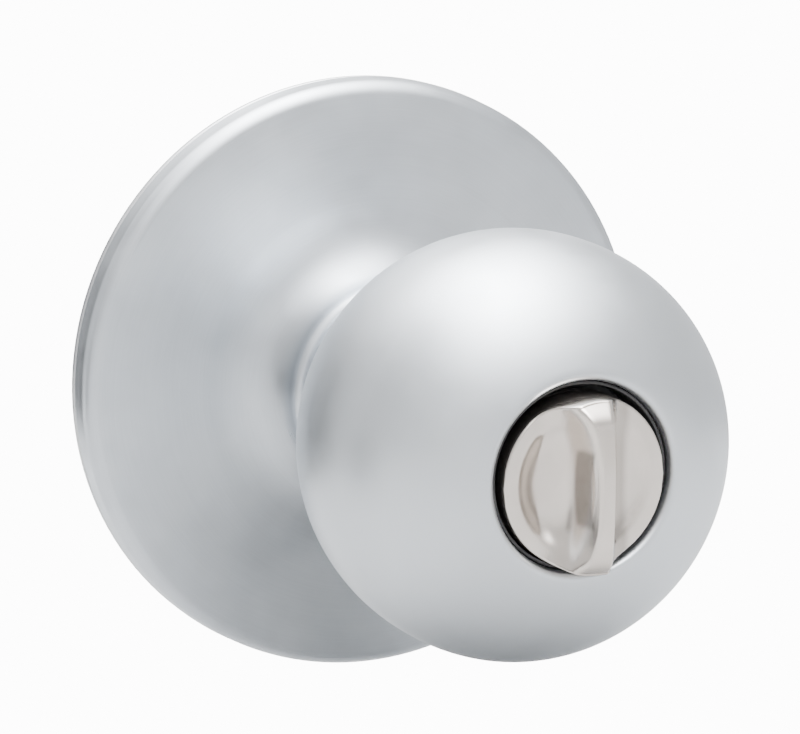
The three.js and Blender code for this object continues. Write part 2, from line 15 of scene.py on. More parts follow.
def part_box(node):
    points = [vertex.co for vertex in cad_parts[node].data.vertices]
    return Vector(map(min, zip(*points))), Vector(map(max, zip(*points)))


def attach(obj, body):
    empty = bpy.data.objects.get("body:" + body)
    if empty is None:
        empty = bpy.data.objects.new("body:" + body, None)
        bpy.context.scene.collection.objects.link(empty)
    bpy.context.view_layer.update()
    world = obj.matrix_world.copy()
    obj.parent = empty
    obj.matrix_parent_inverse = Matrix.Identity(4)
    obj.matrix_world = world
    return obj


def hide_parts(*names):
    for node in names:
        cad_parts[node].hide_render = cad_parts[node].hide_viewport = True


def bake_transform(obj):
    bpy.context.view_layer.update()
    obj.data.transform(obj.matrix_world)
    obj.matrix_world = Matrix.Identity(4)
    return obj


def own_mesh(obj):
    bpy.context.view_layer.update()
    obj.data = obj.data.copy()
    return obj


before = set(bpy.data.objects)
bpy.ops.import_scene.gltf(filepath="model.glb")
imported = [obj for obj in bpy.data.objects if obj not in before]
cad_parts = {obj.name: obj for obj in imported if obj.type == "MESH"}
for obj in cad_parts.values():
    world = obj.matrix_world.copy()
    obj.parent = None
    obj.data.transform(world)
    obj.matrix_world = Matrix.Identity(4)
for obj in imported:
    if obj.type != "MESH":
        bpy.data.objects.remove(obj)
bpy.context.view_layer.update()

MM = 0.001
SHARP_ANGLE = 38


def span(node):
    """A CAD node's radius about the knob axis and its lowest and highest h, in millimetres."""
    low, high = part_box(node)
    return SimpleNamespace(radius=high.x / MM, base=-high.y / MM, top=-low.y / MM)


# Driving dimensions, from the frame where it has them
ROSE = span("rose")
PLATE = span("mounting_plate")
BALL = span("knob_shell")
SHANK = span("knob_shank")
CORE = span("knob_core")
GUIDE = span("button_guide")
SLEEVE = span("spindle_sleeve")
DRIVER = span("spindle_driver")
BUSHING = span("sleeve_bushing")
CAM = span("spring_cam")
CAGE = span("spring_cage")
WASHER = span("thrust_washer")
RING = span("retaining_ring")
BUTTON = span("turn_button")
STEM = span("lock_stem")
CLIP = span("stem_clip")
FRICTION = span("friction_washer")
SADDLE = span("catch_guide")
CATCH_H = (SADDLE.base + SADDLE.top) / 2
SCREW = span("mounting_screw_right")
SCREW_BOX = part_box("mounting_screw_right")
SCREW_X = (SCREW_BOX[0].x + SCREW_BOX[1].x) / 2 / MM
RIVET_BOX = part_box("cage_rivet_1")
RIVET_CIRCLE = (RIVET_BOX[0].z + RIVET_BOX[1].z) / 2 / MM

# Driving dimensions that no bounding box gives
NECK_RADIUS = 12.2
NECK_LIP = 14.4
BALL_CENTRE = 50.0
HOLE_RADIUS = 11.25
SLEEVE_RADIUS = 8.0
SLEEVE_WALL = 1.0
SPRING_RADIUS = 11.4
POKE_RADIUS = 1.2
BUTTON_RIM = 69.8
BUTTON_SAG = 0.4
STEM_RADIUS = 2.0
RIVET_ANGLES = (90, 235, 305)
RIVET_HOLE = 1.6


# Outlines: lists of (radius, h)

def arc(centre, radii, start, end, steps):
    """Points on an ellipse about a centre, angles in degrees from the radius axis towards h."""
    out = []
    for i in range(steps + 1):
        a = math.radians(start + (end - start) * i / steps)
        out.append((centre[0] + radii[0] * math.cos(a), centre[1] + radii[1] * math.sin(a)))
    return out


def bezier(p0, p1, p2, p3, steps):
    """Points on a cubic curve from p0 to p3."""
    out = []
    for i in range(steps + 1):
        t = i / steps
        w = ((1 - t) ** 3, 3 * t * (1 - t) ** 2, 3 * t * t * (1 - t), t ** 3)
        out.append(tuple(sum(k * p[axis] for k, p in zip(w, (p0, p1, p2, p3))) for axis in (0, 1)))
    return out


def filleted(corners):
    """A closed outline from (r, h, fillet) corners, each rounded by an arc-like curve."""
    steps = 4
    out = []
    count = len(corners)
    for i, (r, h, fillet) in enumerate(corners):
        here = Vector((r, h))
        before = Vector(corners[i - 1][:2]) - here
        after = Vector(corners[(i + 1) % count][:2]) - here
        if fillet <= 0 or before.length < 1e-9 or after.length < 1e-9:
            out.append((r, h))
            continue
        reach = min(fillet, before.length * 0.49, after.length * 0.49)
        start = here + before.normalized() * reach
        end = here + after.normalized() * reach
        for k in range(steps + 1):
            t = k / steps
            point = start * (1 - t) ** 2 + here * 2 * t * (1 - t) + end * t * t
            out.append((point.x, point.y))
    return out


def offset(outline, distance):
    """An open outline moved sideways, to its left as seen walking along it with h up."""
    out = []
    for i, (r, h) in enumerate(outline):
        r0, h0 = outline[max(i - 1, 0)]
        r1, h1 = outline[min(i + 1, len(outline) - 1)]
        length = math.hypot(r1 - r0, h1 - h0)
        out.append((r - distance * (h1 - h0) / length, h + distance * (r1 - r0) / length))
    return out


def box_outline(inner, outer, base, top, fillet):
    """A ring's cross-section, with its four corners rounded."""
    return filleted([
        (inner, base, fillet), (outer, base, fillet), (outer, top, fillet), (inner, top, fillet),
    ])


def rod_outline(radius, base, top):
    """Half the cross-section of a plain rod."""
    return [(0, base), (radius, base), (radius, top), (0, top)]


# Meshes

def new_object(name, mesh):
    obj = bpy.data.objects.new(name, mesh)
    bpy.context.scene.collection.objects.link(obj)
    return obj


def shade_smooth(mesh, sharp_angle):
    mesh.polygons.foreach_set("use_smooth", [True] * len(mesh.polygons))
    mesh.set_sharp_from_angle(angle=math.radians(sharp_angle))


def from_bmesh(name, bm, sharp_angle=SHARP_ANGLE):
    bmesh.ops.remove_doubles(bm, verts=bm.verts, dist=1e-7)
    bmesh.ops.recalc_face_normals(bm, faces=bm.faces)
    mesh = bpy.data.meshes.new(name)
    bm.to_mesh(mesh)
    bm.free()
    shade_smooth(mesh, sharp_angle)
    return new_object(name, mesh)


def turned(name, outline, steps, warp=None):
    """Turns an outline about the knob axis. An outline that starts and ends on the axis is capped by
    its poles, and any other is closed on itself. warp(angle, r, h) may change each point."""
    on_axis = outline[0][0] < 1e-6 and outline[-1][0] < 1e-6
    bm = bmesh.new()
    rows = []
    for r, h in outline:
        if on_axis and r < 1e-6:
            rows.append([bm.verts.new((0, -h * MM, 0))])
            continue
        row = []
        for i in range(steps):
            a = 2 * math.pi * i / steps
            rr, hh = warp(a, r, h) if warp else (r, h)
            row.append(bm.verts.new((rr * math.cos(a) * MM, -hh * MM, rr * math.sin(a) * MM)))
        rows.append(row)
    pairs = list(zip(rows, rows[1:]))
    if not on_axis:
        pairs.append((rows[-1], rows[0]))
    for low, high in pairs:
        for i in range(steps):
            j = (i + 1) % steps
            if len(low) == 1 and len(high) == 1:
                break
            if len(low) == 1:
                bm.faces.new((low[0], high[j], high[i]))
            elif len(high) == 1:
                bm.faces.new((low[i], low[j], high[0]))
            else:
                bm.faces.new((low[i], low[j], high[j], high[i]))
    return from_bmesh(name, bm)


def prism(name, outline_xz, base, top, fillet=0.0):
    """A flat outline in x and z, raised from h = base to h = top. A fillet rounds its rims."""
    bm = bmesh.new()
    bottom = [bm.verts.new((x * MM, -base * MM, z * MM)) for x, z in outline_xz]
    face = bm.faces.new(bottom)
    raised = bmesh.ops.extrude_face_region(bm, geom=[face])
    moved = [v for v in raised["geom"] if isinstance(v, bmesh.types.BMVert)]
    bmesh.ops.translate(bm, verts=moved, vec=(0, -(top - base) * MM, 0))
    obj = from_bmesh(name, bm)
    if fillet:
        soften(obj, fillet)
    return obj


def sector(inner, outer, start, end, steps):
    """The outline of a piece of a ring, angles in degrees from +X towards +Z."""
    def points(radius, a, b):
        angles = [math.radians(a + (b - a) * i / steps) for i in range(steps + 1)]
        return [(radius * math.cos(t), radius * math.sin(t)) for t in angles]
    return points(outer, start, end) + points(inner, end, start)


def round_pin(name, outline, direction, place):
    """Turns an outline about the knob axis, then points its h along direction and puts it at place."""
    obj = turned(name, outline, 48)
    turn = Vector((0, -1, 0)).rotation_difference(Vector(direction)).to_matrix().to_4x4()
    obj.data.transform(Matrix.Translation(Vector(place) * MM) @ turn)
    return obj


def settle(obj):
    """Applies an object's modifiers to its mesh."""
    graph = bpy.context.evaluated_depsgraph_get()
    mesh = bpy.data.meshes.new_from_object(obj.evaluated_get(graph), depsgraph=graph)
    old = obj.data
    obj.modifiers.clear()
    obj.data = mesh
    bpy.data.meshes.remove(old)


def soften(obj, width, angle=40):
    """Rounds an object's sharp edges."""
    bevel = obj.modifiers.new("soften", "BEVEL")
    bevel.width = width * MM
    bevel.segments = 2
    bevel.limit_method = "ANGLE"
    bevel.angle_limit = math.radians(angle)
    settle(obj)
    shade_smooth(obj.data, angle)


def combine(obj, others, operation):
    """Joins the other objects to an object or cuts them from it, and removes them."""
    for other in others:
        step = obj.modifiers.new("combine", "BOOLEAN")
        step.operation = operation
        step.solver = "EXACT"
        step.object = other
        settle(obj)
        bpy.data.objects.remove(other)
    shade_smooth(obj.data, SHARP_ANGLE)


def carve(obj, *tools):
    combine(obj, tools, "DIFFERENCE")


def unite(obj, *others):
    combine(obj, others, "UNION")


def wire(name, points, radius, sides):
    """A round wire through points, with closed ends."""
    curve = bpy.data.curves.new(name, "CURVE")
    curve.dimensions = "3D"
    curve.bevel_depth = radius * MM
    curve.bevel_resolution = sides // 2 - 1
    curve.use_fill_caps = True
    spline = curve.splines.new("POLY")
    spline.points.add(len(points) - 1)
    for point, place in zip(spline.points, points):
        point.co = (*(Vector(place) * MM), 1)
    holder = new_object(name + "_path", curve)
    graph = bpy.context.evaluated_depsgraph_get()
    mesh = bpy.data.meshes.new_from_object(holder.evaluated_get(graph), depsgraph=graph)
    bpy.data.objects.remove(holder)
    bm = bmesh.new()
    bm.from_mesh(mesh)
    return from_bmesh(name, bm)


# Materials

class Nodes:
    """Short names for building one node tree."""

    def __init__(self, tree):
        self.tree = tree

    def node(self, kind, **settings):
        made = self.tree.nodes.new(kind)
        for key, value in settings.items():
            setattr(made, key, value)
        return made

    def link(self, source, target):
        self.tree.links.new(source, target)

    def math(self, operation, first, second=None):
        made = self.node("ShaderNodeMath", operation=operation)
        for slot, value in zip(made.inputs, (first, second)):
            if value is None:
                continue
            if isinstance(value, (int, float)):
                slot.default_value = value
            else:
                self.link(value, slot)
        return made.outputs[0]

    def split(self, vector):
        made = self.node("ShaderNodeSeparateXYZ")
        self.link(vector, made.inputs[0])
        return made.outputs

    def ease(self, value, start, end, low, high):
        """Goes smoothly from low to high while the value goes from start to end."""
        return self.map_range("SMOOTHSTEP", value, start, end, low, high)

    def spread(self, value, low, high):
        """Maps a noise's middle range onto low to high, clamped."""
        return self.map_range("LINEAR", value, 0.3, 0.7, low, high)

    def map_range(self, interpolation, value, start, end, low, high):
        made = self.node("ShaderNodeMapRange", interpolation_type=interpolation)
        self.link(value, made.inputs["Value"])
        for name, number in (("From Min", start), ("From Max", end), ("To Min", low), ("To Max", high)):
            made.inputs[name].default_value = number
        return made.outputs["Result"]

    def place(self):
        """The piece's own coordinates, in metres, which move with it."""
        return self.node("ShaderNodeTexCoord").outputs["Object"]

    def axis_distance(self):
        """The distance from the knob axis, in metres."""
        x, _, z = self.split(self.place())
        squares = self.math("ADD", self.math("MULTIPLY", x, x), self.math("MULTIPLY", z, z))
        return self.math("SQRT", squares)

    def noise(self, scale, detail=4.0, roughness=0.55, vector=None, w=None):
        made = self.node("ShaderNodeTexNoise")
        made.inputs["Scale"].default_value = scale
        made.inputs["Detail"].default_value = detail
        made.inputs["Roughness"].default_value = roughness
        if w is not None:
            made.noise_dimensions = "4D"
            self.link(w, made.inputs["W"])
        self.link(vector or self.place(), made.inputs["Vector"])
        return made.outputs["Fac"]

    def lathe_grain(self):
        """Noise stretched round the knob axis, like the marks that turning and brushing leave."""
        along = 3
        across = 9000
        x, y, z = self.split(self.place())
        radius = self.axis_distance()
        safe = self.math("MAXIMUM", radius, 1e-5)
        joined = self.node("ShaderNodeCombineXYZ")
        self.link(self.math("MULTIPLY", self.math("DIVIDE", x, safe), along), joined.inputs[0])
        self.link(self.math("MULTIPLY", self.math("DIVIDE", z, safe), along), joined.inputs[1])
        self.link(self.math("MULTIPLY", radius, across), joined.inputs[2])
        return self.noise(1.0, 2.0, 0.5, joined.outputs[0], self.math("MULTIPLY", y, across))

    def mix(self, factor, first, second):
        made = self.node("ShaderNodeMix", data_type="RGBA")
        self.link(factor, made.inputs["Factor"])
        for slot, value in ((made.inputs["A"], first), (made.inputs["B"], second)):
            if isinstance(value, tuple):
                slot.default_value = (*value, 1)
            else:
                self.link(value, slot)
        return made.outputs["Result"]

    def bump(self, height, distance_mm, strength=1.0, below=None):
        made = self.node("ShaderNodeBump")
        made.inputs["Distance"].default_value = distance_mm * MM
        made.inputs["Strength"].default_value = strength
        self.link(height, made.inputs["Height"])
        if below is not None:
            self.link(below, made.inputs["Normal"])
        return made.outputs["Normal"]


class Surface(Nodes):
    """A new material and its node tree."""

    def __init__(self, name):
        self.material = bpy.data.materials.new(name)
        self.material.use_nodes = True
        super().__init__(self.material.node_tree)
        self.shader = self.tree.nodes["Principled BSDF"]


def metal(name, light, dark, roughness, patch_scale, pits=0.0, shade=None):
    """A metal with cloudy tone and polish, and fine marks round the knob axis. pits is the depth of cast
    pits in millimetres, and shade(nodes) is how far painted shade darkens the tone at each place, from 0 to
    1."""
    grain_depth = 0.0012
    n = Surface(name)
    shader = n.shader
    shader.inputs["Metallic"].default_value = 1.0
    patches = n.noise(patch_scale, 3.0, 0.6)
    fine = n.lathe_grain()
    tone = n.math("ADD", n.math("MULTIPLY", patches, 0.75), n.math("MULTIPLY", fine, 0.25))
    colour = n.mix(n.spread(tone, 0, 1), dark, light)
    # Painted shade: where shade(nodes) is 1, the tone falls to half the dark colour.
    if shade:
        colour = n.mix(shade(n), colour, tuple(0.5 * channel for channel in dark))
    n.link(colour, shader.inputs["Base Color"])
    smudges = n.noise(patch_scale * 2.7, 5.0, 0.6)
    polish = n.math("ADD", n.math("MULTIPLY", smudges, 0.7), n.math("MULTIPLY", fine, 0.3))
    n.link(n.spread(polish, *roughness), shader.inputs["Roughness"])
    normal = n.bump(fine, grain_depth)
    if pits:
        normal = n.bump(n.noise(1800, 3.0, 0.6), pits, 1.0, normal)
    n.link(normal, shader.inputs["Normal"])
    return n.material


def plastic(name, light, dark, roughness):
    """A moulded plastic with a faint grain."""
    grain_depth = 0.02
    n = Surface(name)
    n.link(n.mix(n.spread(n.noise(260), 0, 1), dark, light), n.shader.inputs["Base Color"])
    n.link(n.spread(n.noise(700), *roughness), n.shader.inputs["Roughness"])
    n.link(n.bump(n.noise(2600, 3.0), grain_depth, 0.5), n.shader.inputs["Normal"])
    return n.material


def painted_shade_under_lip(n):
    """Painted shade: darkens the tone in the hollow under the rose's lip, beside the neck, where the steep
    flare lies in shade.
    """
    y = n.split(n.place())[1]
    near = n.ease(n.axis_distance(), (NECK_LIP + 0.2) * MM, (NECK_LIP + 3.4) * MM, 1.0, 0.0)
    below = n.ease(y, -(ROSE.top - 0.9) * MM, -(ROSE.top - 2.0) * MM, 0.0, 1.0)
    return n.math("MULTIPLY", n.math("MULTIPLY", near, below), 0.45)


def painted_shade_beside_fin(n):
    """Painted shade and dark reflections: darkens the tone on the steep faces beside the turn button's fin.
    """
    x, _, z = n.split(n.place())

    def band(axis, start, full_from, full_to, end):
        rise = n.ease(axis, start * MM, full_from * MM, 0.0, 1.0)
        return n.math("MULTIPLY", rise, n.ease(axis, full_to * MM, end * MM, 1.0, 0.0))

    left = n.math("MULTIPLY", band(x, -2.4, -2.1, -1.5, -1.3), band(z, -5.4, -4.2, 3.6, 4.6))
    right = n.math("MULTIPLY", band(x, 2.4, 3.0, 4.9, 6.1), 0.7)
    return n.math("ADD", left, right)


SATIN_CHROME = metal("satin_chrome", (0.655, 0.690, 0.725), (0.610, 0.645, 0.685), (0.34, 0.44), 55)
# The rose's metal carries painted shade in the hollow under its lip.
ROSE_CHROME = metal(
    "rose_satin_chrome", (0.650, 0.685, 0.722), (0.505, 0.540, 0.582), (0.27, 0.45), 48, shade=painted_shade_under_lip)
# The button's metal carries painted shade and dark reflections beside its fin.
SATIN_NICKEL = metal(
    "satin_nickel", (0.750, 0.695, 0.645), (0.650, 0.595, 0.545), (0.17, 0.27), 180, shade=painted_shade_beside_fin)
ZINC_PLATE = metal("zinc_plate", (0.66, 0.67, 0.68), (0.50, 0.52, 0.55), (0.30, 0.48), 120, pits=0.01)
SCREW_ZINC = metal("screw_zinc", (0.68, 0.69, 0.70), (0.52, 0.54, 0.56), (0.26, 0.42), 300)
CAST_ZINC = metal("cast_zinc", (0.47, 0.48, 0.49), (0.36, 0.37, 0.38), (0.46, 0.62), 200, pits=0.03)
SPRING_STEEL = metal("spring_steel", (0.40, 0.40, 0.41), (0.22, 0.22, 0.23), (0.30, 0.45), 400)
BRASS = metal("brass_washer", (0.72, 0.53, 0.24), (0.60, 0.42, 0.18), (0.28, 0.42), 260)
BLACK_PLASTIC = plastic("black_plastic", (0.014, 0.014, 0.015), (0.007, 0.007, 0.008), (0.48, 0.62))
WHITE_NYLON = plastic("white_nylon", (0.80, 0.78, 0.72), (0.72, 0.70, 0.63), (0.42, 0.55))


def finish_piece(obj, material, slot, body, *nodes):
    """Gives a piece its material, the body it rides on and the CAD nodes that it replaces. slot is not used.
    """
    obj.data.materials.clear()
    obj.data.materials.append(material)
    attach(obj, body)
    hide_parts(*nodes)


# Rose: rim wall, rolled shoulder, shallow face, and a flare that rises to a rolled lip round the neck

def make_rose():
    wall = 0.9
    shoulder = 2.1
    wall_top = (ROSE.radius - 0.2, 3.5)
    lip = 12.75
    roll = 1.1
    flare_top = (NECK_LIP, ROSE.top - roll - 1.2)
    face_end = (24.0, 7.3)
    rolled = arc((wall_top[0] - shoulder, wall_top[1]), (shoulder, shoulder), 0, 80, 14)
    face = bezier(rolled[-1], (36.0, 5.85), (28.5, 6.6), face_end, 18)
    flare = bezier(face_end, (18.4, 7.9), (NECK_LIP + 0.8, 9.8), flare_top, 24)
    bead = arc((flare_top[0] - 0.1 - roll, ROSE.top - roll), (roll, roll), 0, 88, 9)
    mouth = arc((lip + 0.25, ROSE.top - 0.25), (0.25, 0.25), 90, 180, 4)
    rim = [(ROSE.radius, ROSE.base + 0.25), (ROSE.radius - 0.1, 2.4)]
    outside = rim + rolled + face[1:] + flare[1:] + bead
    inside = offset([(ROSE.radius, ROSE.base), *rolled, *face[1:], *flare[1:-1]], wall)
    inside[0] = (ROSE.radius - wall, ROSE.base + 0.1)
    throat = flare_top[0] - wall
    under = [(throat - 0.1, ROSE.top - roll - 0.2), (throat - 0.4, ROSE.top - wall), (lip, ROSE.top - wall)]
    hem = [(ROSE.radius - 0.75, ROSE.base), (ROSE.radius - 0.2, ROSE.base)]
    obj = turned("rose_cover", outside + mouth + (inside + under)[::-1] + hem, 160)
    finish_piece(obj, ROSE_CHROME, "satin_chrome", "root", "rose")


# Mounting plate: dished disc with screw slots, rivet and lightening holes, and the rose's snap tabs

def slot_outline(x, half_length, radius):
    steps = 10
    right = arc((x + half_length, 0), (radius, radius), -90, 90, steps)
    left = arc((x - half_length, 0), (radius, radius), 90, 270, steps)
    return right + left


def around(radius, degrees):
    """Places in x and z on a circle about the knob axis."""
    return [(radius * math.cos(math.radians(a)), radius * math.sin(math.radians(a))) for a in degrees]


def hole_tool(x, z, radius, base=-2, top=6):
    """A rod parallel to the knob axis, which drills a hole at x and z."""
    tool = turned("tool", rod_outline(radius, base, top), 40)
    tool.data.transform(Matrix.Translation((x * MM, 0, z * MM)))
    return tool


def catch_tool(radius, near, far):
    """A rod at the catch that points straight down and runs from near to far below the knob axis."""
    return round_pin("tool", rod_outline(radius, near, far), (0, 0, -1), (0, -CATCH_H, 0))


def make_mounting_plate():
    thick = 0.9
    dish = 12.4
    dish_top = PLATE.top
    bore = SLEEVE_RADIUS + 1.7
    tab_top = 3.2
    tab_radius = 37.9
    screw_slot = (1.2, 2.4)  # half the length between its end circles, and their radius
    lightening_circle = 29
    plate = turned("plate", filleted([
        (bore, dish_top - thick, 0.12), (dish - thick, dish_top - thick, 0.7), (dish, 0, 0.8),
        (PLATE.radius, 0, 0.15), (PLATE.radius, thick, 0.4), (dish + 0.6, thick, 0.9),
        (dish - 0.3, dish_top, 0.9), (bore, dish_top, 0.12),
    ]), 144)
    tabs = [
        prism("tab", sector(tab_radius - 0.9, tab_radius, a - 18, a + 18, 14), thick - 0.3, tab_top)
        for a in (45, 135, 225, 315)
    ]
    unite(plate, *tabs)
    tools = [prism("tool", slot_outline(side * SCREW_X, *screw_slot), -2, 6) for side in (-1, 1)]
    tools += [hole_tool(x, z, RIVET_HOLE) for x, z in around(RIVET_CIRCLE, RIVET_ANGLES)]
    tools += [hole_tool(x, z, 3) for x, z in around(lightening_circle, (60, 120, 240, 300))]
    carve(plate, *tools)
    soften(plate, 0.12, 50)
    plate.name = "mounting_plate_pressing"
    finish_piece(plate, ZINC_PLATE, "zinc_plate", "root", "mounting_plate")


def make_spring_cage():
    """The cage round the return spring, with a window for the cam's tab, and its three rivets."""
    inner = CAGE.radius - 0.83
    foot_radius = 20.15
    foot_top = CAGE.base + 0.9
    cage = turned("cage", box_outline(inner, CAGE.radius - 0.03, CAGE.base, CAGE.top, 0.2), 120)
    feet = [
        prism("foot", sector(inner + 0.2, foot_radius, a - 9, a + 9, 8), CAGE.base + 0.01, foot_top)
        for a in RIVET_ANGLES
    ]
    unite(cage, *feet)
    places = around(RIVET_CIRCLE, RIVET_ANGLES)
    window = prism("tool", sector(inner - 1, CAGE.radius + 1, 24, 156, 40), CAM.base - 0.5, CAGE.top + 1)
    notch = prism("tool", sector(inner - 1, CAGE.radius + 1, 262, 278, 6), 3.2, 5.4)
    carve(cage, window, notch, *[hole_tool(x, z, RIVET_HOLE) for x, z in places])
    soften(cage, 0.1, 50)
    cage.name = "spring_cage_pressing"
    finish_piece(cage, ZINC_PLATE, "zinc_plate", "root", "spring_cage")
    shank = 1.3
    head = 2.4
    head_base = foot_top + 0.2
    for i, (x, z) in enumerate(places):
        rivet = turned(f"cage_rivet_{i + 1}_formed", [
            (0, 0.15), (1.1, 0.15), (shank, 0.35), (shank, head_base), (head - 0.1, head_base),
            *arc((0, head_base + 0.1), (head, 1.0), 0, 90, 8)[:-1], (0, head_base + 1.1),
        ], 40)
        rivet.data.transform(Matrix.Translation((x * MM, 0, z * MM)))
        finish_piece(rivet, ZINC_PLATE, "zinc_plate", "root", f"cage_rivet_{i + 1}")


def make_sleeve_bushing():
    """A flanged bushing in the plate's bore, which the sleeve turns in."""
    bore = SLEEVE_RADIUS + 0.12
    journal = SLEEVE_RADIUS + 1.4
    flange_base = PLATE.top + 0.3
    flange_top = PLATE.top + 1
    obj = turned("sleeve_bushing_moulded", filleted([
        (bore, BUSHING.base, 0.2), (journal, BUSHING.base, 0.25), (journal, flange_base, 0.1),
        (journal + 1.1, flange_base, 0.2), (journal + 1.1, flange_top, 0.2), (journal + 0.3, flange_top, 0.2),
        (journal + 0.3, BUSHING.top, 0.25), (bore, BUSHING.top, 0.2),
    ]), 96)
    finish_piece(obj, WHITE_NYLON, "white_nylon", "root", "sleeve_bushing")


# Return spring: a coil from the end in the cage's notch, which stays still, to the end in the cam's
# hole

def make_return_spring():
    radius = SPRING_RADIUS
    wire_radius = 0.65
    door_end = 4.3
    room_end = 7.9
    turns = 2.5
    bend_radius = 1.2
    bend_degrees = 6

    def place(r, degrees, h):
        a = math.radians(degrees)
        return (r * math.cos(a), -h, r * math.sin(a))

    bend = 8
    points = [place(radius + 4, 270, door_end)]
    for i in range(bend + 1):
        t = i / bend * math.pi / 2
        degrees = 270 + bend_degrees * (1 - math.cos(t))
        points.append(place(radius + bend_radius * (1 - math.sin(t)), degrees, door_end))
    count = 150
    sweep = 360 * turns - 2 * bend_degrees
    for i in range(1, count):
        t = i / count
        points.append(place(radius, 270 + bend_degrees + sweep * t, door_end + (room_end - door_end) * t))
    for i in range(bend + 1):
        t = i / bend * math.pi / 2
        degrees = 90 - bend_degrees + bend_degrees * math.sin(t)
        points.append(place(radius, degrees, room_end + bend_radius * (1 - math.cos(t))))
    points.append(place(radius, 90, CAM.top + 0.4))
    obj = wire("return_spring_coil", points, wire_radius, 16)
    obj.data.materials.append(SPRING_STEEL)
    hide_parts("return_spring")
    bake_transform(obj)


# Screws: cross recess in a pan head, and a real thread

def make_screws():
    seat = 1.1
    head = 3.9
    pitch = 0.8
    major = 2.0
    depth = 0.42
    tip = SCREW.base
    thread_start = -0.5
    rows_per_pitch = 6
    recess = (1.9, 0.38)  # half the length and half the width of each bar of the cross

    def thread(angle, r, h):
        """Sinks the thread's valleys into the shaft and tapers its tip."""
        if h > thread_start or r < 0.01:
            return r, h
        phase = (h / pitch - angle / (2 * math.pi)) % 1.0
        tooth = abs(phase * 2 - 1)
        fade = min(1.0, (thread_start - h) / pitch, (h - tip) / pitch + 0.05)
        taper = min(1.0, 0.62 + (h - tip) / 2.4)
        return r * taper - depth * fade * tooth, h

    rows = int((thread_start - tip) / pitch * rows_per_pitch)
    shaft = [(major, tip + (thread_start - tip) * i / rows) for i in range(rows + 1)]
    outline = [(0, tip), *shaft, (major, seat - 0.3), (major + 0.25, seat)]
    outline += [(head - 0.15, seat), (head, seat + 0.15)]
    outline += arc((0, seat + 0.7), (head, SCREW.top - seat - 0.7), 0, 90, 12)[:-1]
    outline.append((0, SCREW.top))
    bar = [(x * recess[0], z * recess[1]) for x, z in ((-1, -1), (1, -1), (1, 1), (-1, 1))]
    for side, name in ((-1, "left"), (1, "right")):
        screw = turned(f"mounting_screw_{name}_threaded", outline, 36, thread)
        tools = []
        for turn in (0, 90):
            tool = prism("tool", bar, SCREW.top - 1.3, SCREW.top + 1)
            tool.data.transform(Matrix.Rotation(math.radians(turn + 30 * side), 4, "Y"))
            tools.append(tool)
        carve(screw, *tools)
        screw.data.transform(Matrix.Translation((side * SCREW_X * MM, 0, 0)))
        finish_piece(screw, SCREW_ZINC, "screw_zinc", "root", f"mounting_screw_{name}")


# Drive sleeve and what turns with it in the rose

def make_spindle_sleeve():
    """The tube that carries the knob, with a flange, a groove for the retaining ring and a hole for the
    catch."""
    inner = SLEEVE_RADIUS - SLEEVE_WALL
    outer = SLEEVE_RADIUS
    flange_top = SLEEVE.base + 1
    groove_floor = SLEEVE_RADIUS - 0.5
    groove_base = WASHER.top + 0.35
    groove_top = groove_base + 1.2
    sleeve = turned("sleeve", filleted([
        (inner, SLEEVE.base, 0.2), (SLEEVE.radius, SLEEVE.base, 0.3), (SLEEVE.radius, flange_top, 0.2),
        (outer, flange_top, 0.3), (outer, groove_base, 0.05), (groove_floor, groove_base, 0.05),
        (groove_floor, groove_top, 0.05), (outer, groove_top, 0.05),
        (outer, SLEEVE.top, 0.3), (inner, SLEEVE.top, 0.2),
    ]), 112)
    carve(sleeve, catch_tool(2.25, 4, 12))
    sleeve.name = "spindle_sleeve_drawn"
    finish_piece(sleeve, ZINC_PLATE, "zinc_plate", "knob", "spindle_sleeve")


def make_spindle_driver():
    """The plug at the sleeve's door end, with a D-shaped socket for the spindle."""
    socket = 4.2
    flat = 2.7
    driver = turned("driver", filleted([
        (0, DRIVER.base, 0), (DRIVER.radius, DRIVER.base, 0.3),
        (DRIVER.radius, DRIVER.top, 0.3), (0, DRIVER.top, 0),
    ]), 96)
    start = math.degrees(math.acos(flat / socket))
    carve(driver, prism("tool", arc((0, 0), (socket, socket), start, 360 - start, 48), -2, 14))
    soften(driver, 0.15, 50)
    driver.name = "spindle_driver_casting"
    finish_piece(driver, CAST_ZINC, "cast_zinc", "knob", "spindle_driver")


def make_spring_cam():
    """A disc on the sleeve that takes the spring's end and carries the tab that stops the knob."""
    tab_reach = 14.3
    leg_hole = 0.95
    cam = turned("cam", box_outline(SLEEVE_RADIUS + 0.1, 12.7, CAM.base, CAM.top, 0.15), 112)
    tab = prism("tab", sector(SPRING_RADIUS, tab_reach, 80, 100, 10), CAM.base + 0.01, CAM.top - 0.01)
    unite(cam, tab)
    carve(cam, hole_tool(0, SPRING_RADIUS, leg_hole, 5, 15))
    cam.name = "spring_cam_pressing"
    finish_piece(cam, ZINC_PLATE, "zinc_plate", "knob", "spring_cam")


def make_sleeve_retention():
    flat_ring = box_outline(SLEEVE_RADIUS + 0.15, WASHER.radius, WASHER.base, WASHER.top, 0.12)
    washer = turned("thrust_washer_stamped", flat_ring, 96)
    finish_piece(washer, BRASS, "brass_washer", "knob", "thrust_washer")
    ring = prism("retaining_ring_formed", sector(7.65, 9.8, 115, 425, 72), RING.base, RING.top, 0.1)
    finish_piece(ring, SPRING_STEEL, "spring_steel", "knob", "retaining_ring")


# Ball: rounded front with a turned-in hole edge, round back that runs into a neck lip

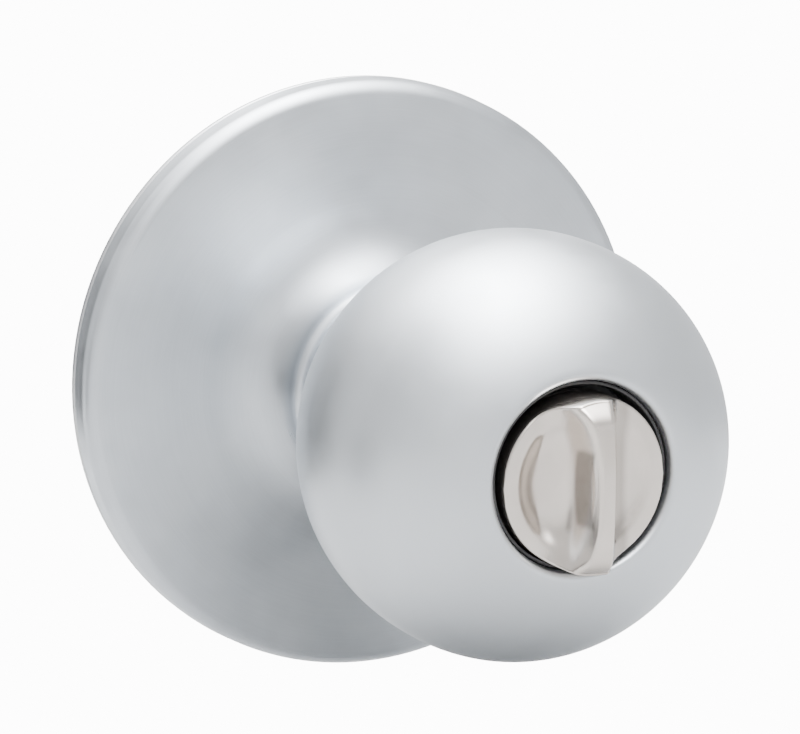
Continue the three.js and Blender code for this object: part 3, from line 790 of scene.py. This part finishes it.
def make_knob_shell():
    """The front is a superellipse, fuller than a circle, and the back is a circle's arc."""
    centre = BALL_CENTRE
    front_depth = 21.25
    power = 2.38
    wall = 1.0
    edge = HOLE_RADIUS + 1.15
    steps = 40
    neck_inner = 12.5
    rim_base = 67.5
    edge_angle = math.acos(edge / BALL.radius)
    front = []
    for i in range(steps + 1):
        r = BALL.radius * math.cos(edge_angle * i / steps)
        front.append((r, centre + front_depth * (1 - (r / BALL.radius) ** power) ** (1 / power)))
    back = [(r, h) for h, r in arc((centre, 0), (BALL.radius, BALL.radius), 144, 91, 30)]
    neck = bezier((13.2, BALL.base + 0.4), (13.3, 27.0), (14.0, 28.0), back[0], 10)
    edge_h = front[-1][1]
    hole_bends = ((11.75, edge_h + 0.17), (HOLE_RADIUS + 0.02, edge_h - 0.15))
    hole = bezier(front[-1], *hole_bends, (HOLE_RADIUS, edge_h - 1.0), 8)
    outside = neck + back[1:] + front + hole[1:]
    inner_neck = [(neck_inner, BALL.base + 0.15), (neck_inner, 27.4)]
    inside = [p for p in offset(neck + back[1:] + front, wall) if p[1] > 28.3 and p[0] > neck_inner]
    rim = [(HOLE_RADIUS, rim_base), (HOLE_RADIUS + 1.2, rim_base)]
    lip = [(12.6, BALL.base), (13.05, BALL.base)]
    outline = outside + rim + inside[::-1] + inner_neck[::-1] + lip
    obj = turned("knob_ball", outline, 192)
    finish_piece(obj, SATIN_CHROME, "satin_chrome", "knob", "knob_shell")


def make_knob_shank():
    """The neck between the rose and the ball, with a flange inside the ball and a poke hole below."""
    inner = NECK_RADIUS - 1.0
    flange_base = 31.2
    shank = turned("shank", filleted([
        (inner, SHANK.base, 0.2), (NECK_RADIUS, SHANK.base, 0.2), (NECK_RADIUS, flange_base, 0.6),
        (SHANK.radius, flange_base, 0.3), (SHANK.radius, SHANK.top, 0.3), (inner, SHANK.top, 0.8),
    ]), 128)
    carve(shank, catch_tool(POKE_RADIUS, 4, 20))
    soften(shank, 0.08, 60)
    shank.name = "knob_neck"
    finish_piece(shank, SATIN_CHROME, "satin_chrome", "knob", "knob_shank")


def make_knob_core():
    """The casting inside the knob: a tail that the sleeve fits in, and a cup that holds the guide."""
    bore = SLEEVE_RADIUS + 0.2
    tail = NECK_RADIUS - 1.3
    cup = CORE.radius
    cup_inner = cup - 1.6
    cup_floor = 55.4
    bore_top = 53.8
    stem_hole = STEM_RADIUS + 0.5
    core = turned("core", filleted([
        (bore, CORE.base, 0.3), (tail, CORE.base, 0.3), (tail, 44, 2), (cup, 48, 2), (cup, CORE.top, 0.3),
        (cup_inner, CORE.top, 0.3), (cup_inner, cup_floor, 1.2), (stem_hole, cup_floor, 0.2),
        (stem_hole, bore_top, 0.2), (bore, bore_top, 0.8),
    ]), 96)
    carve(core, catch_tool(2.3, 4, 9.6), catch_tool(POKE_RADIUS, 4, 20))
    core.name = "knob_core_casting"
    finish_piece(core, CAST_ZINC, "cast_zinc", "knob", "knob_core")


def make_button_guide():
    """The black cup behind the ball's hole, with a thin bezel that lines the hole."""
    boss_hole = 4.8
    floor = GUIDE.base + 1.2
    shoulder = 67.1
    bezel_inner = HOLE_RADIUS - 0.55
    bezel_outer = HOLE_RADIUS - 0.15
    obj = turned("button_guide_moulded", filleted([
        (boss_hole, GUIDE.base, 0.2), (GUIDE.radius, GUIDE.base, 0.3), (GUIDE.radius, shoulder, 0.3),
        (bezel_outer, shoulder, 0.1), (bezel_outer, GUIDE.top, 0.15), (bezel_inner, GUIDE.top, 0.15),
        (bezel_inner, floor, 0.4), (boss_hole, floor, 0.2),
    ]), 144)
    finish_piece(obj, BLACK_PLASTIC, "black_plastic", "knob", "button_guide")


# Catch: a sprung pin in a saddle inside the sleeve

def make_catch():
    saddle = turned("saddle", box_outline(STEM_RADIUS + 0.6, 6.8, SADDLE.base, SADDLE.top, 0.3), 80)
    carve(saddle, catch_tool(2.9, 3.2, 12))
    soften(saddle, 0.12, 50)
    saddle.name = "catch_guide_moulded"
    finish_piece(saddle, WHITE_NYLON, "white_nylon", "knob", "catch_guide")

    low, high = (corner.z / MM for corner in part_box("knob_catch"))
    head = 2.58
    head_end = -high + 0.8
    tip = 2.0
    pin = filleted([
        (0, -high, 0), (head, -high, 0.2), (head, head_end, 0.2),
        (tip, head_end, 0.1), (tip, -low, 0.6), (0, -low, 0),
    ])
    catch = round_pin("knob_catch_pin", pin, (0, 0, -1), (0, -CATCH_H, 0))
    finish_piece(catch, ZINC_PLATE, "zinc_plate", "catch", "knob_catch")

    turns = 2.5
    coil_radius = 1.9
    wire_radius = 0.15
    count = 90
    spring_low, spring_high = (corner.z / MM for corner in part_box("catch_spring"))
    first, last = spring_low + wire_radius, spring_high - wire_radius
    points = []
    for i in range(count + 1):
        a = 2 * math.pi * turns * i / count
        z = first + (last - first) * i / count
        points.append((coil_radius * math.cos(a), coil_radius * math.sin(a) - CATCH_H, z))
    spring = wire("catch_spring_coil", points, wire_radius, 10)
    spring.data.materials.append(SPRING_STEEL)
    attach(spring, "knob")
    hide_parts("catch_spring")
    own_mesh(spring)


# Turn button: a disc with a thumb fin left standing between two dished scoops

BUTTON_EDGE = 0.28
BUTTON_FLAT = BUTTON.radius - BUTTON_EDGE
BUTTON_ROWS = 72
FIN_HALF = 1.3
FLANK = 4.2


def fin_spread(z):
    """How far the fin's left side has moved out at z, which widens the fin towards its ends."""
    return 1.6 * (abs(z) / 9) ** 2.4


def sharp_height(x, z):
    """The button's top before its edges are rounded. The fin's crest curves down by drop from its middle
    to the button's rim, and falls away faster at its ends."""
    r = math.hypot(x, z)
    drop = 1.0
    dome = (BUTTON.radius ** 2 + drop ** 2) / (2 * drop)
    end_fall = 0.34 * max(abs(z) - 7.9, 0) ** 2
    crest = BUTTON.top - dome + math.sqrt(max(dome ** 2 - r ** 2, 0)) - end_fall
    outward = abs(x) - FIN_HALF
    if x < 0:
        outward -= fin_spread(z)
    if outward <= 0:
        return crest
    scoop = 8.3
    scoop_depth = 0.8
    dish = min(max((scoop - r) / 2.4, 0), 1)
    floor = BUTTON_RIM - scoop_depth * (1 - (1 - dish) ** 2)
    lean = 1 - min(outward / FLANK, 1)
    flank_top = BUTTON.top - 0.4
    return min(crest, flank_top - (flank_top - floor) * math.sqrt(1 - lean ** 2))


def button_height(x, z):
    """The height averaged over a small patch, which rounds every edge."""
    round_over = 0.5
    total = 0.0
    for dx in (-1, -0.5, 0, 0.5, 1):
        for dz in (-1, -0.5, 0, 0.5, 1):
            total += sharp_height(x + dx * round_over, z + dz * round_over)
    return total / 25


def button_columns():
    """The x of each column of the grid on the button's top, closest where the height bends most."""
    columns = [-BUTTON_FLAT, -9.7, -9.5, -9.2, -8.9, -8.6, -8.4, -8.2, -8.0]
    columns += [-7.7, -7.3, -6.9, -6.4, -5.9, -5.5, -5.1, -4.7]
    columns += [-FIN_HALF - FLANK * (1 - math.cos(math.radians(a))) for a in range(70, 0, -6)]
    columns += [-FIN_HALF - 0.02 + 0.08 * i for i in range(6)] + [-0.7, -0.35]
    return sorted(set(columns + [-c for c in columns] + [0.0]))


def column_places(column):
    """Places in x and z along a column, between the two ends it has on the flat disc's edge. A column
    on the left follows the fin's side as it spreads."""
    if BUTTON_FLAT - abs(column) < 1e-3:
        return [(column, 0)]
    if column < -FIN_HALF:
        share = min((BUTTON_FLAT + column) / (BUTTON_FLAT - FIN_HALF - FLANK), 1)
    else:
        share = min(max(-column / FIN_HALF, 0), 1)
    low, high = 0.0, BUTTON_FLAT
    for _ in range(40):
        half = (low + high) / 2
        if math.hypot(column - share * fin_spread(half), half) < BUTTON_FLAT:
            low = half
        else:
            high = half
    places = []
    for i in range(BUTTON_ROWS + 1):
        z = half * math.sin(math.pi / 2 * (2 * i / BUTTON_ROWS - 1))
        places.append((column - share * fin_spread(z), z))
    return places


def make_turn_button():
    radius = BUTTON.radius
    underside = BUTTON_RIM - 4.4
    boss = 4.0
    boss_end = underside - 4.5
    socket = STEM_RADIUS + 0.3
    socket_end = underside + 1.2
    bm = bmesh.new()

    def vertex(x, h, z):
        return bm.verts.new((x * MM, -h * MM, z * MM))

    def bridge(upper, lower):
        for i in range(len(upper)):
            j = (i + 1) % len(upper)
            bm.faces.new((upper[i], upper[j], lower[j], lower[i]))
        return lower

    grid = []
    for column in button_columns():
        grid.append([vertex(x, button_height(x, z), z) for x, z in column_places(column)])
    for near, far in zip(grid, grid[1:]):
        for i in range(BUTTON_ROWS):
            if len(near) == 1:
                bm.faces.new((near[0], far[i], far[i + 1]))
            elif len(far) == 1:
                bm.faces.new((near[i], near[i + 1], far[0]))
            else:
                bm.faces.new((near[i], far[i], far[i + 1], near[i + 1]))
    ring = [line[0] for line in grid] + [line[-1] for line in grid[1:-1]][::-1]

    outer = ring
    rounds = 4
    for i in range(1, rounds + 1):
        a = math.radians(90 * i / rounds)
        reach = (BUTTON_FLAT + BUTTON_EDGE * math.sin(a)) / BUTTON_FLAT
        sink = BUTTON_EDGE * (1 - math.cos(a)) * MM
        lower = [bm.verts.new((v.co.x * reach, v.co.y + sink, v.co.z * reach)) for v in ring]
        outer = bridge(outer, lower)
    wall_top = outer
    foot = -(underside + 0.3) * MM
    for share in (0.75, 0.5, 0.25):
        lower = [bm.verts.new((v.co.x, foot + (v.co.y - foot) * share, v.co.z)) for v in wall_top]
        outer = bridge(outer, lower)
    below = [
        (radius, underside + 0.3), (radius - 0.09, underside + 0.09), (radius - 0.3, underside),
        (boss + 0.4, underside), (boss + 0.1, underside - 0.1), (boss, underside - 0.4),
        (boss, underside - 4.2), (boss - 0.3, boss_end), (STEM_RADIUS + 0.5, boss_end),
        (socket, underside - 4.3), (socket, underside + 1.0), (STEM_RADIUS + 0.1, socket_end),
    ]
    angles = [math.atan2(v.co.z, v.co.x) for v in ring]
    for r, h in below:
        outer = bridge(outer, [vertex(r * math.cos(a), h, r * math.sin(a)) for a in angles])
    hub = vertex(0, socket_end, 0)
    for i in range(len(outer)):
        bm.faces.new((outer[i], outer[(i + 1) % len(outer)], hub))
    bmesh.ops.translate(bm, verts=bm.verts, vec=(0, 0, -BUTTON_SAG * MM))
    obj = from_bmesh("turn_button_cast", bm, 50)
    finish_piece(obj, SATIN_NICKEL, "satin_nickel", "button", "turn_button")


def sagged(obj):
    """Lowers a piece by as much as the button sits below the hole's centre."""
    obj.data.transform(Matrix.Translation((0, 0, -BUTTON_SAG * MM)))
    return obj


def make_lock_stem():
    """The button's stem, slit at its door end for the lock's blade, and the clip and waved washer on it."""
    groove_top = CLIP.top + 0.2
    groove_base = groove_top - 1
    groove_floor = STEM_RADIUS - 0.5
    slit = 0.75
    stem = turned("stem", filleted([
        (0, STEM.base, 0), (STEM_RADIUS, STEM.base, 0.4), (STEM_RADIUS, groove_base, 0.05),
        (groove_floor, groove_base, 0.05), (groove_floor, groove_top, 0.05),
        (STEM_RADIUS, groove_top, 0.05), (STEM_RADIUS, STEM.top, 0.3), (0, STEM.top, 0),
    ]), 56)
    fork = prism("tool", [(-slit, -4), (slit, -4), (slit, 4), (-slit, 4)], STEM.base - 1, STEM.base + 6)
    carve(stem, fork)
    soften(stem, 0.12, 50)
    stem.name = "lock_stem_rod"
    finish_piece(sagged(stem), ZINC_PLATE, "zinc_plate", "button", "lock_stem")
    open_ring = sector(STEM_RADIUS - 0.3, STEM_RADIUS + 2, 130, 410, 56)
    clip = prism("stem_clip_formed", open_ring, CLIP.base, CLIP.top, 0.08)
    finish_piece(sagged(clip), SPRING_STEEL, "spring_steel", "button", "stem_clip")

    def wave(angle, r, h):
        return r, h + 0.12 * math.cos(3 * angle)

    room = 0.15
    flat_ring = box_outline(4.3, FRICTION.radius, FRICTION.base + room, FRICTION.top - room, 0.08)
    friction = turned("friction_washer_waved", flat_ring, 120, wave)
    finish_piece(sagged(friction), SPRING_STEEL, "spring_steel", "button", "friction_washer")


make_rose()
make_mounting_plate()
make_spring_cage()
make_sleeve_bushing()
make_return_spring()
make_screws()
make_spindle_sleeve()
make_spindle_driver()
make_spring_cam()
make_sleeve_retention()
make_knob_shell()
make_knob_shank()
make_knob_core()
make_button_guide()
make_catch()
make_turn_button()
make_lock_stem()


# Studio

FLOOR_Z = -0.12


def matte(name, darker, lighter, share=None):
    """A dull grey that runs from one tone to another, by share(nodes) or else in soft clouds."""
    n = Surface(name)
    factor = share(n) if share else n.noise(3.0)
    n.link(n.mix(factor, (darker,) * 3, (lighter,) * 3), n.shader.inputs["Base Color"])
    n.shader.inputs["Roughness"].default_value = 0.9
    n.shader.inputs["Specular IOR Level"].default_value = 0.1
    return n


def show_only_in_reflections(obj):
    obj.visible_camera = False
    obj.visible_diffuse = False
    obj.visible_shadow = False


def make_floor():
    bm = bmesh.new()
    bmesh.ops.create_grid(bm, x_segments=8, y_segments=8, size=3.0)
    bmesh.ops.translate(bm, verts=bm.verts, vec=(0, 0, FLOOR_Z))
    floor = from_bmesh("studio_floor", bm)
    n = matte("studio_floor", 0.90, 0.93)
    n.shader.inputs["Emission Color"].default_value = (1.0, 1.0, 1.0, 1.0)
    n.shader.inputs["Emission Strength"].default_value = 8.0
    floor.data.materials.append(n.material)
    floor.visible_glossy = False


def make_table():
    """The grey table that the metal reflects. It slopes to run just under the rose's rim and the ball,
    and is lighter nearer the door."""
    low_rim = Vector((0, -ROSE.base, -ROSE.radius)) * MM
    low_ball = Vector((0, -BALL_CENTRE, -BALL.radius)) * MM
    slope = math.atan2(low_ball.z - low_rim.z, low_rim.y - low_ball.y)
    gap = 0.012
    bm = bmesh.new()
    bmesh.ops.create_grid(bm, x_segments=8, y_segments=8, size=0.8)
    bmesh.ops.rotate(bm, verts=bm.verts, cent=(0, 0, 0), matrix=Matrix.Rotation(-slope, 3, "X"))
    bmesh.ops.translate(bm, verts=bm.verts, vec=low_rim + Vector((0, 0, -gap)))
    table = from_bmesh("studio_table", bm)

    def nearer_door(n):
        return n.ease(n.split(n.place())[1], -0.21, -0.08, 0.0, 1.0)

    table.data.materials.append(matte("studio_table", 0.25, 0.36, nearer_door).material)
    show_only_in_reflections(table)


def make_flag(name, place, width, height):
    """A dark upright card beside the knob, in millimetres, seen only as a reflection in the metal."""
    x, y, z = (coordinate * MM for coordinate in place)
    bm = bmesh.new()
    corners = []
    for dy, dz in ((-1, -1), (1, -1), (1, 1), (-1, 1)):
        corners.append(bm.verts.new((x, y + dy * width * MM / 2, z + dz * height * MM / 2)))
    bm.faces.new(corners)
    flag = from_bmesh(name, bm)
    flag.data.materials.append(matte(name, 0.03, 0.05).material)
    show_only_in_reflections(flag)


def make_world():
    """Soft studio surroundings: even grey walls, a long light overhead, a darker corner behind the door
    and a darker stand behind the camera."""
    walls = 1.05
    below = 1.4
    light = 19.0
    least = 0.05
    # Azimuth and elevation, the angles from there at which it starts and is full, and its strength
    dark_corner = (-16, -14, 39, 16, -1.1)
    dark_stand = (-158, -14, 24, 8, -0.6)

    world = bpy.data.worlds.new("studio")
    world.use_nodes = True
    n = Nodes(world.node_tree)
    x, y, z = n.split(n.node("ShaderNodeTexCoord").outputs["Generated"])

    def toward(azimuth, elevation):
        """The cosine of the angle to a direction: azimuth 0 is behind the door, 90 is +X."""
        a, e = math.radians(azimuth), math.radians(elevation)
        direction = (math.sin(a) * math.cos(e), math.cos(a) * math.cos(e), math.sin(e))
        terms = [n.math("MULTIPLY", axis, part) for axis, part in zip((x, y, z), direction)]
        return n.math("ADD", n.math("ADD", terms[0], terms[1]), terms[2])

    height = n.math("MAXIMUM", n.math("MULTIPLY", n.math("SUBTRACT", z, 0.2), 1.25), 0.0)
    narrow = n.ease(n.math("ABSOLUTE", x), 0.0, 0.72, 1.0, 0.0)
    overhead = n.math("MULTIPLY", n.math("MULTIPLY", n.math("POWER", height, 2.4), narrow), light)
    total = n.math("ADD", overhead, n.ease(z, -0.75, -0.3, below, walls))
    for azimuth, elevation, outer, inner, strength in (dark_corner, dark_stand):
        edges = math.cos(math.radians(outer)), math.cos(math.radians(inner))
        total = n.math("ADD", total, n.ease(toward(azimuth, elevation), *edges, 0.0, strength))
    background = world.node_tree.nodes["Background"]
    background.inputs["Color"].default_value = (1.0, 1.0, 1.0, 1.0)
    n.link(n.math("MAXIMUM", total, least), background.inputs["Strength"])
    bpy.context.scene.world = world


def make_camera():
    """A long lens, in front of the knob, to its left and a little above it."""
    direction = Vector((0.38320, 0.90363, -0.19132))
    data = bpy.data.cameras.new("camera")
    data.sensor_width = 36
    data.lens = 143.6
    data.clip_start = 0.01
    camera = new_object("camera", data)
    camera.location = (-0.15879, -0.38989, 0.08252)
    camera.rotation_euler = direction.to_track_quat("-Z", "Y").to_euler()
    bpy.context.scene.camera = camera


make_floor()
make_table()
make_flag("studio_flag_left", (-250, -20, -35), 120, 90)
make_flag("studio_flag_right", (250, -105, -40), 60, 90)
make_world()
make_camera()
